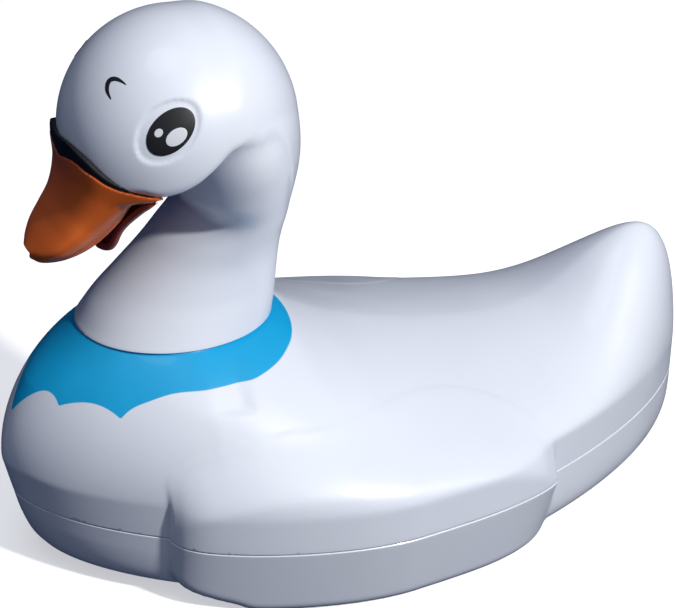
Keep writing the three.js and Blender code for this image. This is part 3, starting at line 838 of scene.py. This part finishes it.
def hoop(rings):
    """Closed ring body from rings that go once round its section."""
    around = len(rings[0])
    points = np.concatenate(rings)
    faces = []
    for i in range(len(rings)):
        for j in range(around):
            a, b = i * around + j, i * around + (j + 1) % around
            c, d = (i + 1) % len(rings) * around + (j + 1) % around, (i + 1) % len(rings) * around + j
            faces.append([a, b, c, d])
    return points, outward(points, np.array(faces))


# ------------ bill
bill_top = through([[-12, 29], [0, 23.8], [9, 13.8], [18, 7.4], [26, 4.8], [34, 3.6], [41, 2.6]])
bill_wide = through([[-12, 36], [0, 30], [10, 25], [18, 21.5], [26, 19.5], [33, 16.5], [38, 11.5], [41, 6]])
bill_low = through([[-12, -2], [0, -7], [10, -10], [18, -11.5], [26, -10.5], [33, -8], [38, -5], [41, -2.4]])
mask_low = through([[0, 169], [6, 170.6], [12, 171.8], [16, 171.6], [20, 170.4], [24, 169.2], [28, 166.6],
                    [31, 165], [34, 164.2], [38, 163.4], [44, 162.6]])
mask_high = through([[0, 177], [8, 177.8], [15, 176.8], [20.7, 174.7], [25, 171.8], [28, 169.4], [31, 167.2],
                     [34, 165.6], [38, 164.4], [44, 163.2]])
BAND = 1.4                               # how far the root of the bill stands off the head
# Edge of the upper bill from the corner of the mouth to the middle of the tip, and edge of the lower bill.
LIP = [(35, -87.6, 161.6), (31, -92.6, 160.6), (28.4, -95.3, 158.9), (25.6, -95.4, 155.4), (22.5, -96, 151.4),
       (20, -97.9, 147.4), (17.2, -100.9, 142.8), (14.6, -104.2, 138.6), (12.2, -109, 134.8),
       (9, -115.4, 131.6), (4.5, -121.2, 129.8), (0, -123.8, 129.8)]
JAW = [(36, -87, 162), (33, -88.6, 158.8), (30, -90.3, 156), (26, -92, 152.1), (22, -93.6, 148.1),
       (18, -94.8, 143.7), (15, -95.4, 139.8), (12.4, -95.8, 136), (9, -96.4, 132.6), (5, -97.4, 130.8),
       (1.5, -98.2, 130.2)]


def bill_point(along, across, up):
    """Point of the bill: along its slope, across, and out of its upper face."""
    c, s = math.cos(BILL_DIP), math.sin(BILL_DIP)
    return np.stack(np.broadcast_arrays(across, BILL_Y - along * c - up * s, BILL_Z - along * s + up * c), -1)


def bill_surface(along, angle):
    across = bill_wide(along) * np.sign(np.cos(angle)) * np.abs(np.cos(angle)) ** 0.85
    rise = np.abs(np.sin(angle)) ** 0.9
    return bill_point(along, across, rise * np.where(np.sin(angle) < 0, bill_low(along), bill_top(along)))


def smooth_path(points, count):
    """Evenly numbered points on a smooth curve through a few points in space."""
    points = np.array(points, float)
    at = np.linspace(0, 1, len(points))
    t = np.linspace(0, 1, count)
    return np.stack([through(np.column_stack([at, points[:, k]]))(t) for k in range(3)], 1)


def jaw_rings(count, around):
    """Sections of the scoop-shaped lower bill, hung from its edge."""
    edge = smooth_path(JAW, count)
    angle = 2 * np.pi * np.arange(around)[None, :] / around
    x = edge[:, :1] * np.cos(angle)
    dish = 0.34 * edge[:, :1] * (1 - np.cos(angle) ** 2)
    off = dish + 1.15 * np.sin(angle)
    return np.stack([x, edge[:, 1:2] + 0.93 * off, edge[:, 2:] - 0.36 * off], 2)


def both_sides(path):
    return np.concatenate([path, path[-2::-1] * (-1, 1, 1)])


def build_bill():
    grid = Grid((-41, -142, 120), (41, -76, 184), 0.5)
    angle = 2 * np.pi * np.arange(160)[None, :] / 160
    ball = np.sqrt(grid.x ** 2 + (grid.y - HEAD[1]) ** 2 + (grid.z - HEAD[2]) ** 2) - HEAD_R
    across = np.abs(grid.x)
    low = mask_low(across).astype(np.float32)
    high = mask_high(across).astype(np.float32)

    body = grid.distance(*loft(bill_surface(np.linspace(-12, 41, 140)[:, None], angle)), band=6)
    stand = BAND * (1 - 0.5 * ease((across - 26) / 12))
    root = np.maximum(ball - stand, np.maximum(grid.z - high, grid.y + 84.5))
    root = np.maximum(root, 157.5 + 0.35 * np.maximum(across - 24, 0) - grid.z)
    body = blend(body, root.astype(np.float32), 2.2)
    body = np.maximum(body, (grid.z - high) * 0.8)
    body = blend(body, grid.tube(both_sides(smooth_path(LIP, 60)), 1.3), 1.6)
    for side in (1, -1):
        nostril = [(side * 11.8, -112.3, 161.0), (side * 12.3, -111.9, 159.4), (side * 13.0, -111.3, 158.4)]
        body = np.maximum(body, -grid.tube(nostril, [0.5, 1.1, 0.8]))
    keep_off = 0.25 - head_ball(grid)
    body = np.maximum(body, keep_off)

    upper = piece("bill_upper", *grid.skin(np.maximum(body, (grid.z - low) * 0.8 + 0.1)), orange)
    stand_for(upper, "float", "bill_orange", "upper_bill")
    band = np.maximum(body + 0.2, np.maximum(keep_off, (low - grid.z) * 0.8 + 0.1))
    mask = piece("bill_mask_band", *grid.skin(band), black)
    stand_for(mask, "float", "face_black", "bill_mask")

    under = grid.distance(*loft(jaw_rings(90, 120)), band=6)
    under = blend(under, grid.tube(both_sides(smooth_path(JAW, 60)), 1.5), 1.6)
    under = np.maximum(under, np.maximum(keep_off, 0.3 - body))
    lower = piece("bill_lower", *grid.skin(under), lower_bill_shaded_orange)
    stand_for(lower, "float", "bill_orange", "lower_bill")


# ------------ eyes and brows
# Name, middle, half sizes and tilt of each glint painted on the eye.
GLINTS = (("big", (2.8, 0.2), (2.75, 4.3), -8), ("small", (-2.7, -3.3), (1.4, 1.7), 0))


def pupil_lift(short, long):
    """Height of the painted eye over the round of the head."""
    return -0.45 + 0.35 * (1 - (short / EYE_HALF[0]) ** 2 - (long / EYE_HALF[1]) ** 2)


def face_patch(name, middle, half, raised, material, side, tilt=0.0, depth=0.25):
    """Thin closed oval on the eye; middle and half are in the eye's short and long directions."""
    rings, around = 16, 96
    angle = 2 * np.pi * np.arange(around) / around
    levels = [(t, raised) for t in np.linspace(0.02, 0.97, rings)]
    levels += [(0.99, raised - 0.03), (1.0, raised - 0.08), (1.0, -depth), (0.5, -depth), (0.02, -depth)]
    turn = math.radians(tilt)
    loops = []
    for t, lift in levels:
        u, v = t * half[0] * np.cos(angle), t * half[1] * np.sin(angle)
        short = middle[0] + u * math.cos(turn) - v * math.sin(turn)
        long = middle[1] + u * math.sin(turn) + v * math.cos(turn)
        out = np.sqrt(HEAD_R ** 2 - short ** 2 - long ** 2)
        ray = short[:, None] * EYE_SHORT + long[:, None] * EYE_LONG + out[:, None] * EYE_AIM
        reach = HEAD_R + pupil_lift(short, long) + lift
        loops.append(HEAD + ray * reach[:, None] / HEAD_R)
    points, faces = loft(np.array(loops))
    points = points.astype(float) * (side, 1, 1)
    return piece(name, points, outward(points, faces.astype(int)), material, 50)


def build_eyes():
    for side, word in ((1, "left"), (-1, "right")):
        eye = face_patch(f"eye_{word}_pupil", (0, 0), EYE_HALF, 0.0, black, side)
        stand_for(eye, "float", "face_black", f"eye_{word}")
        for tag, middle, half, tilt in GLINTS:
            spot = face_patch(f"eye_{word}_glint_{tag}", middle, half, 0.14, glint, side, tilt, -0.02)
            stand_for(spot, "float", "shell_white")


def build_brows():
    """Small tapered hook painted above each eye."""
    knots = np.array([(21.5, -97.3, 197.2), (18.6, -97.6, 199.2), (17.1, -97.1, 201.2), (16.9, -96.2, 202.9),
                      (18.4, -94.9, 203.9), (20.6, -93.4, 203.6), (22.8, -91.9, 202.5)])
    steps = 60
    t = np.linspace(0, 1, steps)
    at = np.linspace(0, 1, len(knots))
    line = np.stack([through(np.column_stack([at, knots[:, k]]))(t) for k in range(3)], 1) - HEAD
    line /= np.linalg.norm(line, axis=1, keepdims=True)
    run = np.gradient(line, axis=0)
    run /= np.linalg.norm(run, axis=1, keepdims=True)
    out = np.cross(line, run)
    half = 0.12 + 0.85 * np.sin(np.pi * t ** 0.85) ** 0.9
    for side, word in ((1, "left"), (-1, "right")):
        loops = []
        for k in range(steps):
            section = [(-half[k], -0.1), (-half[k], 0.1), (-0.5 * half[k], 0.16), (0.5 * half[k], 0.16),
                       (half[k], 0.1), (half[k], -0.1)]
            loops.append([HEAD + line[k] * (HEAD_R + lift) + out[k] * w for w, lift in section])
        points, faces = loft(np.array(loops))
        points = points.astype(float) * (side, 1, 1)
        brow = piece(f"brow_{word}", points, outward(points, faces.astype(int)), black, 50)
        stand_for(brow, "float", "face_black")


# ------------ tablet dispenser
VENT_TURNS = [k * 60 for k in range(6)]
VENT = (16, 36)                          # inner and outer radius of the vents
VENT_HALF = 11                           # half angle of a vent, in degrees
VENT_CORNER = 1.6
LUG_TURNS = (0, 120, 240)
SCREW_CIRCLE = 57


def build_housing():
    low, high = 4.6, 7.1
    corners = [[0, 60.5], [50.5, 60.5], [50.5, high], [64, high], [64, low], [46.3, low], [46.3, high],
               [48, high], [48, 58], [0, 58]]
    housing = lathe("tablet_well", corners, 0.4)
    for turn in LUG_TURNS:
        carve(housing, sector("notch", 44.3, 48, turn, 12.5, 0, high + 0.01))
    for k in range(6):
        a = math.radians((k + 0.5) * 60)
        spot = (SCREW_CIRCLE * math.cos(a), WELL_Y + SCREW_CIRCLE * math.sin(a))
        carve(housing, lathe("screw_hole", [[0, 0], [1.7, 0], [1.7, 20], [0, 20]], 0.01, 32, spot))
        build_screw(k + 1, spot)
    finish_piece(housing, grey)
    stand_for(housing, "float", "housing_grey", "tablet_housing")


def build_screw(number, spot):
    """Pan-head screw with a cross recess."""
    corners = [[0, 2.4], [2.2, 2.4], [3.2, 3.1], [3.2, 4.3], [1.35, 4.3], [1.35, 14.6], [0.6, 15], [0, 15]]
    screw = lathe(f"flange_screw_{number}", corners, 0.25, 48, spot)
    for wide, deep in ((1.7, 0.32), (0.32, 1.7)):
        outline = [(spot[0] + a * wide, spot[1] + b * deep) for a, b in ((-1, -1), (1, -1), (1, 1), (-1, 1))]
        carve(screw, prism("recess", outline, 1, 3.3))
    finish_piece(screw, steel)
    stand_for(screw, "float", "screw_steel", f"housing_screw_{number}")


def build_canister():
    corners = [[0, 5], [44.5, 5], [44.5, 11.3], [45.8, 11.3], [45.8, 11.7], [44.5, 11.7], [44.5, 14.3],
               [45.8, 14.3], [45.8, 15], [44.5, 15], [44.5, 54], [42, 54], [42, 7.5], [0, 7.5]]
    can = lathe("canister", corners, 0.35)
    for turn in LUG_TURNS:
        carve(can, sector("lug", 43.5, 47.6, turn, 9, 7.5, 10.5), "UNION")
    for turn in VENT_TURNS:
        carve(can, sector("vent", *VENT, turn, VENT_HALF, 0, 9, VENT_CORNER))
    for x0, x1 in ((-38, -8.5), (8.5, 38)):
        outline = round_outline([(x0, WELL_Y - 3), (x1, WELL_Y - 3), (x1, WELL_Y + 3), (x0, WELL_Y + 3)], 2.4)
        carve(can, prism("grip", [tuple(p) for p in outline], 1.3, 6), "UNION")
    for turn in (0, 180):
        carve(can, sector("vent", *VENT, turn, VENT_HALF, 4.99, 9, VENT_CORNER))
    carve(can, lathe("pin_hole", [[0, 0], [4.3, 0], [4.3, 12], [0, 12]], 0.01, 48))
    finish_piece(can, blue)
    stand_for(can, "canister", "canister_blue", "tablet_canister")


def build_shutter():
    low = 7.8
    corners = [[0, 4.4], [4, 4.4], [4, low], [40.5, low], [40.5, low + 1.8], [0, low + 1.8]]
    disc = lathe("vent_disc", corners, 0.25)
    for turn in VENT_TURNS:
        carve(disc, sector("vent", *VENT, turn, VENT_HALF, 0, 20, VENT_CORNER))
    finish_piece(disc, grey)
    stand_for(disc, "vent_control", "housing_grey", "vent_shutter")

    knob = lathe("vent_dial", [[0, 1.4], [6.6, 1.4], [7.6, 2.2], [7.6, 4.1], [0, 4.1]], 0.3, 96)
    slot = [(-5.5, WELL_Y - 0.8), (5.5, WELL_Y - 0.8), (5.5, WELL_Y + 0.8), (-5.5, WELL_Y + 0.8)]
    carve(knob, prism("slot", [tuple(p) for p in round_outline(slot, 0.7)], 0, 2.3))
    finish_piece(knob, blue)
    stand_for(knob, "vent_control", "canister_blue", "vent_knob")


def build_seals():
    ring = lathe("canister_ring", [[44.8, 12], [46, 12], [46, 14], [44.8, 14]], 0.5)
    finish_piece(ring, rubber)
    stand_for(ring, "canister_carrier", "seal_rubber", "canister_seal")


# ------------ carried-over CAD nodes
def dress_cad_nodes():
    """Better materials for the CAD nodes that keep their shape."""
    for node, material in (("hull_seal", rubber), ("neck_clip", grey), ("housing_gasket", rubber)):
        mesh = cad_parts[node].data
        mesh.materials.clear()
        mesh.materials.append(material)


# ------------ stage, light and camera
def aim(thing, place, target):
    """Places a light or the camera so that it looks at a target."""
    thing.location = place
    thing.rotation_euler = (Vector(target) - Vector(place)).to_track_quat("-Z", "Y").to_euler()


def build_camera():
    middle = (np.array(cad_box[0]) + np.array(cad_box[1])) / 2
    target = middle + (-0.0224, 0.0031, -0.0390)
    azimuth, elevation, distance = math.radians(67.0), math.radians(28.4), 0.999
    level = math.cos(elevation)
    back = (math.sin(azimuth) * level, -math.cos(azimuth) * level, math.sin(elevation))
    data = bpy.data.cameras.new("camera")
    data.lens = 129.9
    data.sensor_width = 36
    camera = bpy.data.objects.new("camera", data)
    bpy.context.scene.collection.objects.link(camera)
    aim(camera, target + distance * np.array(back), target)
    bpy.context.scene.camera = camera


def build_floor():
    """Pale floor, clear when looked at from below."""
    n, half = 24, 3.0
    line = np.linspace(-half, half, n + 1)
    points = [(x, y, 0.0) for x in line for y in line]
    faces = [(i * (n + 1) + j, (i + 1) * (n + 1) + j, (i + 1) * (n + 1) + j + 1, i * (n + 1) + j + 1)
             for i in range(n) for j in range(n)]
    mesh = bpy.data.meshes.new("floor")
    mesh.from_pydata(points, [], faces)
    floor = bpy.data.objects.new("floor", mesh)
    bpy.context.scene.collection.objects.link(floor)
    material, nodes, links, shader = new_material("pale_floor")
    tone = remap(nodes, links, noise(nodes, links, 3, 2), 0, 1)
    links.new(mixed(nodes, links, tone, (0.93, 0.93, 0.93), (0.95, 0.95, 0.95)), shader.inputs["Base Color"])
    shader.inputs["Roughness"].default_value = 0.9
    shader.inputs["Emission Color"].default_value = (1, 1, 1, 1)
    shader.inputs["Emission Strength"].default_value = 0.5
    facing = nodes.new("ShaderNodeNewGeometry")
    clear = nodes.new("ShaderNodeBsdfTransparent")
    chosen = nodes.new("ShaderNodeMixShader")
    links.new(facing.outputs["Backfacing"], chosen.inputs["Fac"])
    links.new(shader.outputs["BSDF"], chosen.inputs[1])
    links.new(clear.outputs["BSDF"], chosen.inputs[2])
    links.new(chosen.outputs["Shader"], nodes["Material Output"].inputs["Surface"])
    mesh.materials.append(material)
    floor.visible_diffuse = False
    floor.visible_glossy = False


def area_light(name, direction, distance, size, power, colour=(1, 1, 1)):
    data = bpy.data.lights.new(name, "AREA")
    data.shape = "DISK"
    data.size = size
    data.energy = power
    data.color = colour
    light = bpy.data.objects.new(name, data)
    bpy.context.scene.collection.objects.link(light)
    target = Vector((0, 0, 0.09))
    aim(light, target + Vector(direction).normalized() * distance, target)
    return light


SKY_BRIGHT = (0.62, 0.10, 0.78)          # direction of the brightest part of the studio


def build_world():
    """Soft surroundings, bright on the key side and dark blue on the other."""
    world = bpy.data.worlds.new("studio")
    bpy.context.scene.world = world
    world.use_nodes = True
    nodes, links = world.node_tree.nodes, world.node_tree.links
    place = nodes.new("ShaderNodeTexCoord")
    facing = nodes.new("ShaderNodeVectorMath")
    facing.operation = "DOT_PRODUCT"
    facing.inputs[1].default_value = Vector(SKY_BRIGHT).normalized()
    links.new(place.outputs["Generated"], facing.inputs[0])
    rise = remap(nodes, links, facing.outputs["Value"], 0, 1, -1, 1)
    ramp = nodes.new("ShaderNodeValToRGB")
    stops = ((0.0, (0.012, 0.026, 0.085)), (0.35, (0.035, 0.065, 0.190)), (0.55, (0.15, 0.21, 0.40)),
             (0.8, (0.66, 0.72, 0.85)))
    while len(ramp.color_ramp.elements) < len(stops):
        ramp.color_ramp.elements.new(0.5)
    for element, (position, colour) in zip(ramp.color_ramp.elements, stops):
        element.position = position
        element.color = (*colour, 1)
    links.new(rise, ramp.inputs["Fac"])
    links.new(ramp.outputs["Color"], nodes["Background"].inputs["Color"])
    nodes["Background"].inputs["Strength"].default_value = 0.34


def build_studio():
    bpy.context.scene.view_settings.view_transform = "Standard"
    build_world()
    build_floor()
    area_light("key", (0.70, 0.28, 0.66), 1.8, 0.14, 27, (1.0, 0.99, 0.97))
    area_light("sky", (0.05, -0.20, 0.97), 2.0, 1.0, 5, (0.93, 0.96, 1.0))


build_camera()
build_studio()
build_float()
build_head()
build_bill()
build_eyes()
build_brows()
build_housing()
build_canister()
build_shutter()
build_seals()
dress_cad_nodes()
